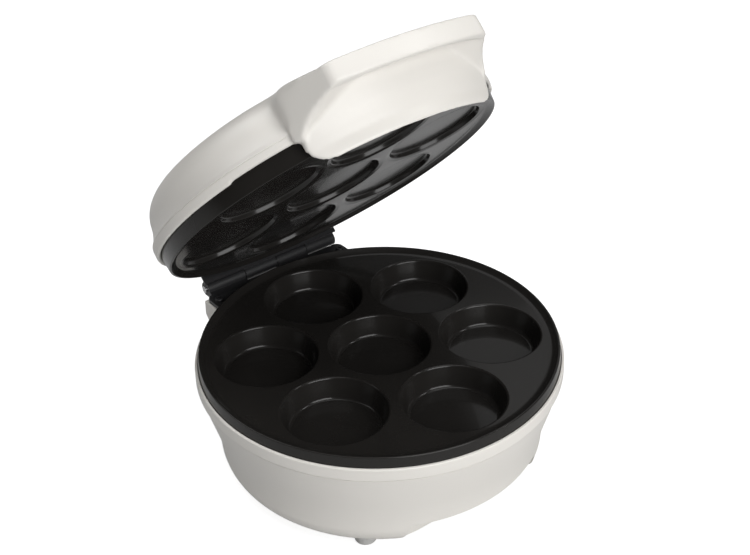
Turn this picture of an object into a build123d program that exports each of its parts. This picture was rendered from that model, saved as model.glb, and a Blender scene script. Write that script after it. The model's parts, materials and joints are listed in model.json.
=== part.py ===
from build123d import *
import math
import os

# Cupcake maker with seven round wells, shown with its lid half open
# Millimetres, Z up, the user stands at -Y and the hinge is at +Y
# Origin: on the table, under the centre of the lower cooking plate
# Plates and housings are drawn from their mating plane, as radius and height pairs

# Driving sizes and clearances of the whole maker
MATE_Z = 88.0
SHUT_GAP = 0.4
OPEN_ANGLE = 47.5
WALL = 2.5
FIT = 0.3
RUN_CLEAR = 0.06
JOIN = 0.5

# Wells and the cooking plates around them
WELL_R = 32.1
WELL_FLOOR_R = 28.4
WELL_DEPTH = 14.0
WELL_LIP = 1.3
WELL_FLOOR_EDGE = 2.0
WELL_WEB = 8.1
WELL_RING_R = 2 * WELL_R + WELL_WEB
CUP_T = 2.4
PLATE_T = 3.0
FACE_DROP = 2.5
RIM_MARGIN = 10.6
RIM_R = WELL_RING_R + WELL_R + RIM_MARGIN
LID_RIM_R = RIM_R - 0.9
RIM_LAND = 1.4
RIM_EDGE = 0.5
RIM_DRAFT = 0.8
FACE_R = RIM_R - 5.5
LOWER_WALL_H = 6.7
UPPER_WALL_H = 9.2
SKIRT_IN_HOUSING = 4.5
PLATE_SKIRT_T = 2.2
CUP_BOTTOM = FACE_DROP + WELL_DEPTH + CUP_T

# Heating element in a channel under the plate, screw bosses, reflector
ELEMENT_R = 3.4
ELEMENT_RING_R = 61.0
ELEMENT_OPEN = 26.0
CHANNEL_CLEAR = 0.1
CHANNEL_ROOF = 0.6
RIDGE_WALL = 2.5
ELEMENT_DROP = CUP_BOTTOM + CHANNEL_ROOF + CHANNEL_CLEAR + ELEMENT_R
ELEMENT_AIR = 3.6
LEG_R = 2.9
LEG_LENGTH = 15.0
LEG_TURN = ELEMENT_OPEN / 2 + 3.6
PRONG_R = 1.3
PRONG_LENGTH = 9.0
BOSS_R = 5.0
BOSS_RING_R = WELL_RING_R / math.sqrt(3)
BOSS_ANGLES = [60, 180, 300]
BOSS_BORE = 14.0
BOSS_DROP = ELEMENT_DROP + ELEMENT_R + ELEMENT_AIR
SHEET_T = 0.8
REFLECTOR_R = RIM_R - 8.0
REFLECTOR_LIP_W = 8.0
REFLECTOR_LIP_H = 7.0

# Thermostat under the middle well, thermal fuse beside it
SWITCH_R = 8.5
SWITCH_DISC_H = 2.5
SWITCH_BODY_H = 9.0
BLADE_LENGTH = 8.0
BLADE_X = 5.0
FUSE_R = 2.6
FUSE_LENGTH = 30.0
FUSE_WIRE_R = 1.4
FUSE_X = SWITCH_R + 17.5

# Screws
SCREW_R = 2.0
HEAD_R = 3.6
HEAD_H = 2.2
SMALL_HEAD_R = 3.0
SMALL_HEAD_H = 1.8
RECESS_W = 0.9
PLATE_SCREW_GRIP = 10.0

# White housings: band beside the plates, then the bowl and the crown
BAND_T = 1.6
BAND_R = RIM_R + RIM_DRAFT + FIT + BAND_T
BAND_H = 8.4
BAND_EDGE = 0.7
BASE_WALL_TOP = (BAND_R - 1.1, -16.0)
BASE_WALL_WAIST = (BAND_R - 9.4, -44.0)
BASE_WALL_BELLY = (BAND_R - 11.5, -53.0)
BASE_WALL_LOW = (BAND_R - 12.7, -62.0)
FLOOR_EDGE_R = 18.0
FLOOR_Z = BASE_WALL_LOW[1] - FLOOR_EDGE_R
LID_WALL_LOW = (BAND_R - 1.7, 18.6)
LID_WALL_MIDDLE = (BAND_R - 4.1, 24.0)
LID_WALL_TOP = (BAND_R - 5.4, 30.0)
SHOULDER_MIDDLE = (BAND_R - 10.2, 40.0)
SHOULDER_TOP = (BAND_R - 17.5, 45.0)
CROWN_MIDDLE = (BAND_R - 31.7, 49.5)
CROWN_TOP = (BAND_R - 46.7, 52.1)
CROWN_CENTRE_R = BAND_R - 93.7
CROWN_Z = 54.8

# Shallow relief under the front of the base
RELIEF_TOP_W = 100.0
RELIEF_LOW_W = 107.0
RELIEF_H = 18.7
RELIEF_Y = BAND_R - 35.7

# Hinge: pin, four knuckles, two leaves and the decks under them
BARREL_R = 5.0
PIN_R = 2.4
HINGE_Y = BAND_R + 7.3
HINGE_Z = MATE_Z - 1.8
KNUCKLE_GAP = 0.5
PIN_END = 1.0
DECK_HALF_W = 56.5
DECK_Y = HINGE_Y - BARREL_R - 0.4
DECK_FROM_Y = 60.0
BASE_DECK_LOW = [(DECK_Y, -17.0), (BAND_R - 29.7, -52.0), (DECK_FROM_Y, -52.0)]
LID_DECK_TOP = [(DECK_Y, 18.0), (BAND_R - 19.7, 40.0), (DECK_FROM_Y, 40.0)]
LEAF_HALF_W = DECK_HALF_W - 1.0
KNUCKLE_ENDS = [share * LEAF_HALF_W for share in (-0.94, -0.4, 0.07, 0.52, 0.97)]
LEAF_Y = DECK_Y - 0.2
LEAF_T = 2.8
LEAF_GAP_TO_RIM = 0.6
LEAF_CORNER_R = 5.0
LEAF_SCREW_X = LEAF_HALF_W - 5.0
LEAF_SCREW_Y = LEAF_Y - 8.9
LEAF_POST_R = 4.2
LEAF_SCREW_GRIP = 9.0
TAB_REACH = 9.0
TAB_T = 3.0
TAB_TURN = -18.0

# Feet and posts of the base
FOOT_RING_R = BAND_R - 32.8
FOOT_TOP_R = 8.6
FOOT_LOW_R = 6.9
FOOT_EDGE = 1.2
FOOT_RECESS = 3.2
FOOT_SCREW_R = 1.6
FOOT_SCREW_GRIP = 5.0
PAD_R = FOOT_TOP_R + 0.4
PAD_H = 9.0
POST_R = 6.0
POST_RECESS = 24.0
VENT_L = 24.0
VENT_W = 3.0
VENT_PITCH = 11.0

# Cord outlet and terminal block
CORD_Z = 30.0
BUSHING_R = 7.0
BUSHING_BORE = 3.6
FLANGE_W = 2.0
FLANGE_T = 3.2
FLANGE_SET = 1.2
BUSHING_IN = 4.4
BLOCK_Y = 72.0
BLOCK_SIZE = (30.0, 16.0, 13.0)
BLOCK_PITCH = 9.0
PEG_R = 3.0
PEG_H = 4.0

# Handle: skirt in front of the base rim, finger hollow and lip
SKIRT_R = BAND_R + 0.9
SKIRT_T = 2.2
SKIRT_DROP = 8.0
SKIRT_ROOT_Z = 20.0
SKIRT_HALF_W = 66.0
SKIRT_CORNER_R = 13.0
HOLLOW_LOW = (BAND_R + 3.1, -1.0)
HOLLOW_MIDDLE = (BAND_R + 8.3, 11.4)
HOLLOW_TOP = (BAND_R + 21.3, 19.4)
LIP_R = BAND_R + 29.3
LIP_LOW_Z = 22.0
LIP_TOP_Z = 34.5
LIP_SPARE = 8.0
HANDLE_TOP_FRONT = (BAND_R + 2.3, 42.0)
HANDLE_TOP_MIDDLE = (BAND_R - 13.7, 46.2)
HANDLE_TOP_REAR = (BAND_R - 31.7, 49.2)
HANDLE_HALF_W = 54.0
HANDLE_END_Y = LIP_R - 6.5
HANDLE_CORNER_R = 8.0
FLANK = [(62.8, BAND_R - 0.7), (69.5, BAND_R - 18.7), (47.0, BAND_R - 45.7)]
GRIP_WALL = 4.0
NOTCH_ANGLES = (-146.5, -124.5)
NOTCH_H = 1.3

# Strap behind the lid's reflector, indicator lenses in the crown
STRAP_T = 1.5
STRAP_Z = BOSS_DROP + SHEET_T
STRAP_TAB_Z = 18.4
STRAP_LEG_W = 7.6
STRAP_RING_R = 52.0
STRAP_RING_HOLE_R = 20.0
TONGUE_W = 22.0
RIB_Y = BAND_R + 0.3
RIB_W = 26.0
RIB_T = 5.0
TONGUE_FIT = 0.1
LENS_X = 9.0
LENS_Y = -64.0
LENS_R = 3.1
LENS_H = 6.0
LENS_RISE = 1.3
LAMP_R = 2.4
LAMP_H = 10.0


def base_section(depth):
    """Half section of the bowl under its band, at a depth inside the outer face."""
    turn = FLOOR_EDGE_R * math.sqrt(0.5)
    centre_r = BASE_WALL_LOW[0] - FLOOR_EDGE_R
    centre_z = BASE_WALL_LOW[1]
    with BuildSketch() as section:
        with BuildLine():
            Line(BASE_WALL_TOP, BASE_WALL_WAIST)
            ThreePointArc(BASE_WALL_WAIST, BASE_WALL_BELLY, BASE_WALL_LOW)
            ThreePointArc(BASE_WALL_LOW, (centre_r + turn, centre_z - turn), (centre_r, FLOOR_Z))
            Polyline((centre_r, FLOOR_Z), (-BAND_R, FLOOR_Z), (-BAND_R, BASE_WALL_TOP[1]), BASE_WALL_TOP)
        make_face()
        if depth:
            offset(amount=-depth)
        Rectangle(2 * BAND_R, 4 * BAND_R, align=(Align.MAX, Align.CENTER), mode=Mode.SUBTRACT)
    return section.sketch


def lid_section(depth):
    """Half section of the crown above its band, at a depth inside the outer face."""
    with BuildSketch() as section:
        with BuildLine():
            ThreePointArc(LID_WALL_LOW, LID_WALL_MIDDLE, LID_WALL_TOP)
            ThreePointArc(LID_WALL_TOP, SHOULDER_MIDDLE, SHOULDER_TOP)
            ThreePointArc(SHOULDER_TOP, CROWN_MIDDLE, CROWN_TOP)
            Polyline(CROWN_TOP, (CROWN_CENTRE_R, CROWN_Z), (-BAND_R, CROWN_Z), (-BAND_R, LID_WALL_LOW[1]),
                     LID_WALL_LOW)
        make_face()
        if depth:
            offset(amount=-depth)
        Rectangle(2 * BAND_R, 4 * BAND_R, align=(Align.MAX, Align.CENTER), mode=Mode.SUBTRACT)
    return section.sketch


def ring_points(radius, angles):
    """Points on a circle about the Z axis."""
    return [(radius * math.cos(math.radians(a)), radius * math.sin(math.radians(a))) for a in angles]


def at_height(points, z):
    """The same points with a height."""
    return [(x, y, z) for x, y in points]


WELL_POINTS = [(0, 0)] + ring_points(WELL_RING_R, range(30, 390, 60))
BOSS_POINTS = ring_points(BOSS_RING_R, BOSS_ANGLES)
LEG_POINTS = ring_points(ELEMENT_RING_R, [90 - LEG_TURN, 90 + LEG_TURN])
FOOT_POINTS = ring_points(FOOT_RING_R, [45, 135, 225, 315])
LEAF_SCREW_POINTS = [(-LEAF_SCREW_X, LEAF_SCREW_Y), (LEAF_SCREW_X, LEAF_SCREW_Y)]
UP = (Align.CENTER, Align.CENTER, Align.MIN)
DOWN = (Align.CENTER, Align.CENTER, Align.MAX)
RIGHT_AND_UP = (Align.MIN, Align.MIN)
RIGHT_AND_DOWN = (Align.MIN, Align.MAX)


def cooking_plate(rim_r, wall_h):
    """Die-cast plate, face up, with the top of its rim at height zero."""
    skirt_r = rim_r + RIM_DRAFT
    skirt_z = -wall_h - SKIRT_IN_HOUSING
    under = -FACE_DROP - PLATE_T
    with BuildPart() as cup:
        with BuildSketch(Plane.XZ):
            Polygon((0, under + JOIN), (WELL_R + CUP_T, under + JOIN), (WELL_FLOOR_R + CUP_T, -CUP_BOTTOM),
                    (0, -CUP_BOTTOM), align=None)
        revolve(axis=Axis.Z)
    with BuildPart() as well:
        with BuildSketch(Plane.XZ) as section:
            Polygon((0, -FACE_DROP), (WELL_R, -FACE_DROP), (WELL_FLOOR_R, -FACE_DROP - WELL_DEPTH),
                    (0, -FACE_DROP - WELL_DEPTH), align=None)
            chamfer(section.vertices().group_by(Axis.Y)[0].sort_by(Axis.X)[-1], WELL_FLOOR_EDGE)
        revolve(axis=Axis.Z)
    with BuildPart() as plate:
        # Rim, face and skirt
        with BuildSketch(Plane.XZ):
            Polygon((0, -FACE_DROP), (FACE_R, -FACE_DROP), (rim_r - RIM_LAND, 0), (rim_r - RIM_EDGE, 0),
                    (rim_r, -RIM_EDGE), (skirt_r, -wall_h), (skirt_r, skirt_z),
                    (skirt_r - PLATE_SKIRT_T, skirt_z), (skirt_r - PLATE_SKIRT_T, under), (0, under),
                    align=None)
        revolve(axis=Axis.Z)
        # Seven cups under the face, each opened by a well
        with Locations(*WELL_POINTS):
            add(cup.part)
        with Locations(*WELL_POINTS):
            add(well.part, mode=Mode.SUBTRACT)
        lips = plate.edges().filter_by(GeomType.CIRCLE).filter_by_position(
            Axis.Z, -FACE_DROP - 0.01, -FACE_DROP + 0.01)
        chamfer([e for e in lips if abs(e.radius - WELL_R) < 0.01], WELL_LIP)
        # Screw bosses between the wells
        with Locations(*at_height(BOSS_POINTS, under + JOIN)):
            Cylinder(BOSS_R, BOSS_DROP + under + JOIN, align=DOWN)
        with Locations(*at_height(BOSS_POINTS, -BOSS_DROP)):
            Cylinder(SCREW_R + RUN_CLEAR, BOSS_BORE, align=UP, mode=Mode.SUBTRACT)
        # Ridge with the channel of the heating element
        with BuildSketch(Plane.XZ):
            with Locations((ELEMENT_RING_R, -ELEMENT_DROP)):
                Rectangle(2 * (ELEMENT_R + CHANNEL_CLEAR + RIDGE_WALL), ELEMENT_DROP + under + JOIN,
                          align=(Align.CENTER, Align.MIN))
        revolve(axis=Axis.Z)
        with Locations(*WELL_POINTS):
            add(well.part, mode=Mode.SUBTRACT)
        with BuildSketch(Plane.XZ):
            with Locations((ELEMENT_RING_R, -ELEMENT_DROP)):
                Rectangle(2 * (ELEMENT_R + CHANNEL_CLEAR), ELEMENT_R + CHANNEL_CLEAR,
                          align=(Align.CENTER, Align.MIN))
        revolve(axis=Axis.Z, mode=Mode.SUBTRACT)
    return plate.part


def heating_element():
    """Tube bent to an open ring, with two legs that turn down at the rear."""
    with BuildPart() as tube:
        with BuildSketch(Plane.XZ):
            with Locations((ELEMENT_RING_R, 0)):
                Circle(ELEMENT_R)
        revolve(axis=Axis.Z, revolution_arc=360 - ELEMENT_OPEN)
    with BuildPart() as element:
        with Locations(Location((0, 0, -ELEMENT_DROP), (0, 0, 90 + ELEMENT_OPEN / 2))):
            add(tube.part)
        with Locations(*at_height(LEG_POINTS, -ELEMENT_DROP - LEG_LENGTH)):
            Cylinder(LEG_R, LEG_LENGTH + ELEMENT_R / 2, align=UP)
            Cylinder(PRONG_R, PRONG_LENGTH, align=DOWN)
    return element.part


def heat_reflector():
    """Thin dished sheet behind the element, clamped against the screw bosses."""
    with BuildPart() as sheet:
        with BuildSketch(Plane.XZ):
            Polygon((0, -BOSS_DROP), (REFLECTOR_R - REFLECTOR_LIP_W, -BOSS_DROP),
                    (REFLECTOR_R, -BOSS_DROP + REFLECTOR_LIP_H),
                    (REFLECTOR_R + 1.2 * SHEET_T, -BOSS_DROP + REFLECTOR_LIP_H - SHEET_T / 2),
                    (REFLECTOR_R - REFLECTOR_LIP_W + SHEET_T / 2, -BOSS_DROP - SHEET_T),
                    (0, -BOSS_DROP - SHEET_T), align=None)
        revolve(axis=Axis.Z)
        with Locations(*at_height(BOSS_POINTS, -BOSS_DROP)):
            Hole(SCREW_R + FIT, 4 * SHEET_T)
        with Locations(*at_height(LEG_POINTS, -BOSS_DROP)):
            Hole(LEG_R + 5 * FIT, 4 * SHEET_T)
        with Locations((0, 0, -BOSS_DROP)):
            Hole(SWITCH_R + 5 * FIT, 4 * SHEET_T)
    return sheet.part


def thermostat():
    """Bimetal disc switch pressed against the middle well."""
    with BuildPart() as switch:
        with Locations((0, 0, -CUP_BOTTOM)):
            Cylinder(SWITCH_R, SWITCH_DISC_H, align=DOWN)
            Cylinder(SWITCH_R - 1.2, SWITCH_DISC_H + SWITCH_BODY_H, align=DOWN)
        with Locations((-BLADE_X, 0, -CUP_BOTTOM - SWITCH_DISC_H - SWITCH_BODY_H),
                       (BLADE_X, 0, -CUP_BOTTOM - SWITCH_DISC_H - SWITCH_BODY_H)):
            Box(SHEET_T, 6, BLADE_LENGTH, align=DOWN)
    return switch.part


def thermal_fuse():
    """Fuse in a sleeve, laid on the reflector."""
    with BuildPart() as fuse:
        with Locations(Location((FUSE_X, 0, -BOSS_DROP + FUSE_R), (90, 0, 0))):
            Cylinder(FUSE_R, FUSE_LENGTH)
            Cylinder(FUSE_WIRE_R, FUSE_LENGTH + 12)
    return fuse.part


def screw(length, head_r, head_h):
    """Pan-head screw with a cross recess, head down, shank up from height zero."""
    with BuildPart() as body:
        Cylinder(SCREW_R, length, align=UP)
        Cylinder(head_r, head_h, align=DOWN)
        chamfer(body.edges().sort_by(Axis.Z)[0], 0.3 * head_h)
        with BuildSketch(Plane.XY.offset(-head_h)):
            Rectangle(head_r * 1.1, RECESS_W)
            Rectangle(RECESS_W, head_r * 1.1)
        extrude(amount=head_h / 2, mode=Mode.SUBTRACT)
    return body.part


# Lower cooking plate and what hangs under it
with BuildPart() as lower_cooking_plate:
    with Locations((0, 0, MATE_Z)):
        add(cooking_plate(RIM_R, LOWER_WALL_H))
with BuildPart() as lower_heating_element:
    with Locations((0, 0, MATE_Z)):
        add(heating_element())
with BuildPart() as lower_heat_reflector:
    with Locations((0, 0, MATE_Z)):
        add(heat_reflector())
with BuildPart() as lower_thermostat:
    with Locations((0, 0, MATE_Z)):
        add(thermostat())
with BuildPart() as lower_thermal_fuse:
    with Locations((0, 0, MATE_Z)):
        add(thermal_fuse())

# Room inside the base housing
base_in = RIM_R + RIM_DRAFT + FIT
ledge_z = -LOWER_WALL_H - SKIRT_IN_HOUSING - FIT
base_outside = base_section(0)
base_inside = base_section(WALL)
with BuildPart() as base_room:
    with BuildSketch(Plane.XZ):
        add(base_inside)
        with Locations((0, ledge_z)):
            Rectangle(BASE_WALL_TOP[0] - WALL, ledge_z - BASE_WALL_TOP[1] + WALL, align=RIGHT_AND_DOWN)
        with Locations((0, ledge_z)):
            Rectangle(base_in, BAND_R, align=RIGHT_AND_UP)
    revolve(axis=Axis.Z)
    with BuildSketch(Plane.YZ):
        Polygon((DECK_FROM_Y, -LOWER_WALL_H), (DECK_Y, -LOWER_WALL_H), *BASE_DECK_LOW, align=None)
        offset(amount=-WALL, kind=Kind.INTERSECTION)
    extrude(amount=DECK_HALF_W - WALL, both=True)
    with BuildSketch(Plane.XZ.offset(RELIEF_Y - WALL)):
        Polygon((-RELIEF_LOW_W / 2, FLOOR_Z), (-RELIEF_TOP_W / 2, FLOOR_Z + RELIEF_H),
                (RELIEF_TOP_W / 2, FLOOR_Z + RELIEF_H), (RELIEF_LOW_W / 2, FLOOR_Z), align=None)
        offset(amount=WALL, kind=Kind.INTERSECTION)
    extrude(amount=BAND_R, mode=Mode.SUBTRACT)
    with Locations(*at_height(FOOT_POINTS, FLOOR_Z)):
        Cylinder(PAD_R, PAD_H - 2, align=UP, mode=Mode.SUBTRACT)

# Outer form of the base: bowl, rear deck, foot pads, front relief
with BuildPart() as base_shape:
    with BuildSketch(Plane.XZ):
        add(base_outside)
        Polygon((0, BASE_WALL_TOP[1]), BASE_WALL_TOP, (BASE_WALL_TOP[0], -LOWER_WALL_H - BAND_H),
                (BAND_R, -LOWER_WALL_H - BAND_H + BAND_EDGE), (BAND_R, -LOWER_WALL_H - BAND_EDGE),
                (BAND_R - BAND_EDGE, -LOWER_WALL_H), (0, -LOWER_WALL_H), align=None)
    revolve(axis=Axis.Z)
    with BuildSketch(Plane.YZ):
        Polygon((DECK_FROM_Y, -LOWER_WALL_H), (DECK_Y, -LOWER_WALL_H), *BASE_DECK_LOW, align=None)
    extrude(amount=DECK_HALF_W, both=True)
    with Locations(*at_height(FOOT_POINTS, FLOOR_Z)):
        Cylinder(PAD_R, PAD_H, align=UP)
    with BuildSketch(Plane.XZ.offset(RELIEF_Y)):
        Polygon((-RELIEF_LOW_W / 2, FLOOR_Z), (-RELIEF_TOP_W / 2, FLOOR_Z + RELIEF_H),
                (RELIEF_TOP_W / 2, FLOOR_Z + RELIEF_H), (RELIEF_LOW_W / 2, FLOOR_Z), align=None)
    extrude(amount=BAND_R, mode=Mode.SUBTRACT)

# Base housing with its posts, sockets, vents and cord hole
floor = MATE_Z + FLOOR_Z
post_top = MATE_Z - BOSS_DROP - SHEET_T
deck_top = MATE_Z - LOWER_WALL_H
with BuildPart() as base_housing:
    with Locations((0, 0, MATE_Z)):
        add(base_shape.part)
        add(base_room.part, mode=Mode.SUBTRACT)
    # Posts for the plate screws, each recessed from below
    with Locations(*at_height(BOSS_POINTS, floor + JOIN)):
        Cylinder(POST_R, post_top - floor - JOIN, align=UP)
    with Locations(*at_height(BOSS_POINTS, floor)):
        Cylinder(SCREW_R + FIT, post_top - floor, align=UP, mode=Mode.SUBTRACT)
        Cylinder(HEAD_R + FIT, POST_RECESS, align=UP, mode=Mode.SUBTRACT)
    # Two posts under the hinge bracket screws
    with Locations(*at_height(LEAF_SCREW_POINTS, deck_top)):
        Cylinder(LEAF_POST_R, LEAF_SCREW_GRIP + 7, align=DOWN)
    with Locations(*at_height(LEAF_SCREW_POINTS, deck_top)):
        Cylinder(SCREW_R + RUN_CLEAR, LEAF_SCREW_GRIP + 3, align=DOWN, mode=Mode.SUBTRACT)
    # Sockets for the foot screws
    with Locations(*at_height(FOOT_POINTS, floor)):
        Cylinder(FOOT_SCREW_R + RUN_CLEAR, FOOT_SCREW_GRIP + 1, align=UP, mode=Mode.SUBTRACT)
    # Vent slots through the floor
    with BuildSketch(Plane.XY.offset(floor)):
        with GridLocations(VENT_PITCH, VENT_L + 10, 5, 2):
            SlotOverall(VENT_L, VENT_W, rotation=90)
    extrude(amount=WALL + 1, mode=Mode.SUBTRACT)
    # Hole for the cord bushing in the rear wall
    with Locations(Location((0, BAND_R, CORD_Z), (90, 0, 0))):
        Cylinder(BUSHING_R, 60, mode=Mode.SUBTRACT)
    # Pegs that carry the terminal block
    with Locations((-BLOCK_PITCH, BLOCK_Y, floor + 1), (BLOCK_PITCH, BLOCK_Y, floor + 1)):
        Cylinder(PEG_R, WALL + PEG_H - 1, align=UP)

# Ceramic terminal block on its two pegs
block_z = floor + WALL + PEG_H
with BuildPart() as terminal_block:
    with Locations((0, BLOCK_Y, block_z)):
        Box(*BLOCK_SIZE, align=UP)
    with Locations(*[(x, BLOCK_Y, block_z + BLOCK_SIZE[2]) for x in (-BLOCK_PITCH, 0, BLOCK_PITCH)]):
        Box(0.72 * BLOCK_PITCH, 10, 5, align=DOWN, mode=Mode.SUBTRACT)
    for x in (-BLOCK_PITCH, 0, BLOCK_PITCH):
        with Locations(Location((x, BLOCK_Y, block_z + 3.5), (90, 0, 0))):
            Cylinder(1.7, 20, mode=Mode.SUBTRACT)

# Bushing in the rear wall, its flange against the outside of the wall
flange_y = BASE_WALL_WAIST[0] - FLANGE_SET
with BuildPart() as cord_bushing:
    with BuildSketch(Plane.XY):
        with Locations((0, flange_y)):
            Polygon((BUSHING_BORE, -BUSHING_IN), (BUSHING_R - FIT, -BUSHING_IN), (BUSHING_R - FIT, 0),
                    (BUSHING_R + FLANGE_W, 0), (BUSHING_R + FLANGE_W, 0.6 * FLANGE_T),
                    (BUSHING_R + 0.6, FLANGE_T), (BUSHING_BORE, FLANGE_T), align=None)
    revolve(axis=Axis.Y)
cord_bushing.part = cord_bushing.part.translate((0, 0, CORD_Z))

# Four tapered feet on their screws
with BuildPart() as foot:
    with BuildSketch(Plane.XZ) as section:
        Polygon((0, 0), (FOOT_LOW_R, 0), (FOOT_TOP_R, floor), (0, floor), align=None)
        chamfer(section.vertices().group_by(Axis.Y)[0].sort_by(Axis.X)[-1], FOOT_EDGE)
    revolve(axis=Axis.Z)
    Cylinder(SCREW_R + 2 * FIT, FOOT_RECESS, align=UP, mode=Mode.SUBTRACT)
    Cylinder(FOOT_SCREW_R + RUN_CLEAR, floor, align=UP, mode=Mode.SUBTRACT)
with BuildPart() as feet:
    with Locations(*FOOT_POINTS):
        add(foot.part)
with BuildPart() as foot_screws:
    with Locations(*at_height(FOOT_POINTS, FOOT_RECESS)):
        Cylinder(FOOT_SCREW_R, floor - FOOT_RECESS + FOOT_SCREW_GRIP, align=UP)
        Cylinder(SCREW_R + FIT, FOOT_SCREW_R, align=DOWN)

# Plate screws of the base, from below
with BuildPart() as base_plate_screws:
    with Locations(*at_height(BOSS_POINTS, floor + POST_RECESS)):
        add(screw(post_top - floor - POST_RECESS + SHEET_T + PLATE_SCREW_GRIP, HEAD_R, HEAD_H))


def hinge_leaf(rim_wall_r, lower):
    """Flange with screw holes and two of the four knuckles, in shut position."""
    side = -1 if lower else 1
    outer = MATE_Z - LOWER_WALL_H if lower else MATE_Z + UPPER_WALL_H + SHUT_GAP
    own = [0, 2] if lower else [1, 3]
    room_r = rim_wall_r + LEAF_GAP_TO_RIM
    with BuildPart() as leaf:
        with BuildSketch(Plane.XY.offset(outer)) as outline:
            with Locations((0, LEAF_Y)):
                Rectangle(2 * LEAF_HALF_W, LEAF_Y - 0.62 * RIM_R, align=(Align.CENTER, Align.MAX))
            fillet(outline.vertices().group_by(Axis.Y)[-1], LEAF_CORNER_R)
            Circle(room_r, mode=Mode.SUBTRACT)
        extrude(amount=-side * LEAF_T)
        # Knuckles, each with a web back to the flange
        for k in own:
            start = KNUCKLE_ENDS[k] + KNUCKLE_GAP / 2
            length = KNUCKLE_ENDS[k + 1] - KNUCKLE_GAP / 2 - start
            with BuildSketch(Plane.YZ.offset(start)):
                with Locations((HINGE_Y, HINGE_Z)):
                    Circle(BARREL_R)
                Polygon((LEAF_Y - 4, outer), (HINGE_Y - (0 if lower else 1), outer),
                        (HINGE_Y + (0 if lower else 4), HINGE_Z + (0 if lower else 3)), (HINGE_Y, HINGE_Z),
                        (HINGE_Y - 4, HINGE_Z), (LEAF_Y - 4, outer - side * LEAF_T), align=None)
            extrude(amount=length)
            # Stop tab behind each knuckle of the lid
            if not lower:
                with BuildSketch(Plane.YZ.offset(start + TAB_T)):
                    with Locations(Location((HINGE_Y, HINGE_Z), TAB_TURN)):
                        Rectangle(TAB_REACH, TAB_T, align=(Align.MIN, Align.CENTER))
                extrude(amount=length - 2 * TAB_T)
        with Locations(Location((0, HINGE_Y, HINGE_Z), (0, 90, 0))):
            Cylinder(PIN_R + RUN_CLEAR, 3 * KNUCKLE_ENDS[-1], mode=Mode.SUBTRACT)
        # Room for the wall of the cooking plate
        with Locations((0, 0, HINGE_Z)):
            Cylinder(room_r, 2 * (UPPER_WALL_H + BARREL_R), mode=Mode.SUBTRACT)
        # Room for the knuckles of the other leaf
        for k in [k for k in range(4) if k not in own]:
            start = KNUCKLE_ENDS[k] - KNUCKLE_GAP / 2
            length = KNUCKLE_ENDS[k + 1] + KNUCKLE_GAP / 2 - start
            with Locations(Location((start, HINGE_Y, HINGE_Z), (0, 90, 0))):
                Cylinder(BARREL_R + KNUCKLE_GAP, length, align=UP, mode=Mode.SUBTRACT)
        with Locations(*at_height(LEAF_SCREW_POINTS, outer)):
            Cylinder(SCREW_R + FIT, 4 * LEAF_T, mode=Mode.SUBTRACT)
    return leaf.part


with BuildPart() as hinge_base_bracket:
    add(hinge_leaf(RIM_R + RIM_DRAFT, True))
with BuildPart() as hinge_pin:
    with Locations(Location((KNUCKLE_ENDS[0] - PIN_END, HINGE_Y, HINGE_Z), (0, 90, 0))):
        Cylinder(PIN_R, KNUCKLE_ENDS[-1] - KNUCKLE_ENDS[0] + 2 * PIN_END, align=UP)
with BuildPart() as hinge_base_screws:
    for x, y in LEAF_SCREW_POINTS:
        with Locations(Location((x, y, deck_top + LEAF_T), (180, 0, 0))):
            add(screw(LEAF_T + LEAF_SCREW_GRIP, SMALL_HEAD_R, SMALL_HEAD_H))

# Lid, modelled shut: plan outline of the handle, bowed in front and hollowed at its flanks
with BuildSketch() as handle_plan:
    with BuildLine():
        ThreePointArc((-HANDLE_HALF_W, -HANDLE_END_Y), (0, -LIP_R), (HANDLE_HALF_W, -HANDLE_END_Y))
        ThreePointArc((HANDLE_HALF_W, -HANDLE_END_Y), (FLANK[0][0], -FLANK[0][1]),
                      (FLANK[1][0], -FLANK[1][1]))
        Polyline((FLANK[1][0], -FLANK[1][1]), (FLANK[2][0], -FLANK[2][1]), (-FLANK[2][0], -FLANK[2][1]),
                 (-FLANK[1][0], -FLANK[1][1]))
        ThreePointArc((-FLANK[1][0], -FLANK[1][1]), (-FLANK[0][0], -FLANK[0][1]),
                      (-HANDLE_HALF_W, -HANDLE_END_Y))
    make_face()
    fillet(handle_plan.vertices().group_by(Axis.Y)[0], HANDLE_CORNER_R)

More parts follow.
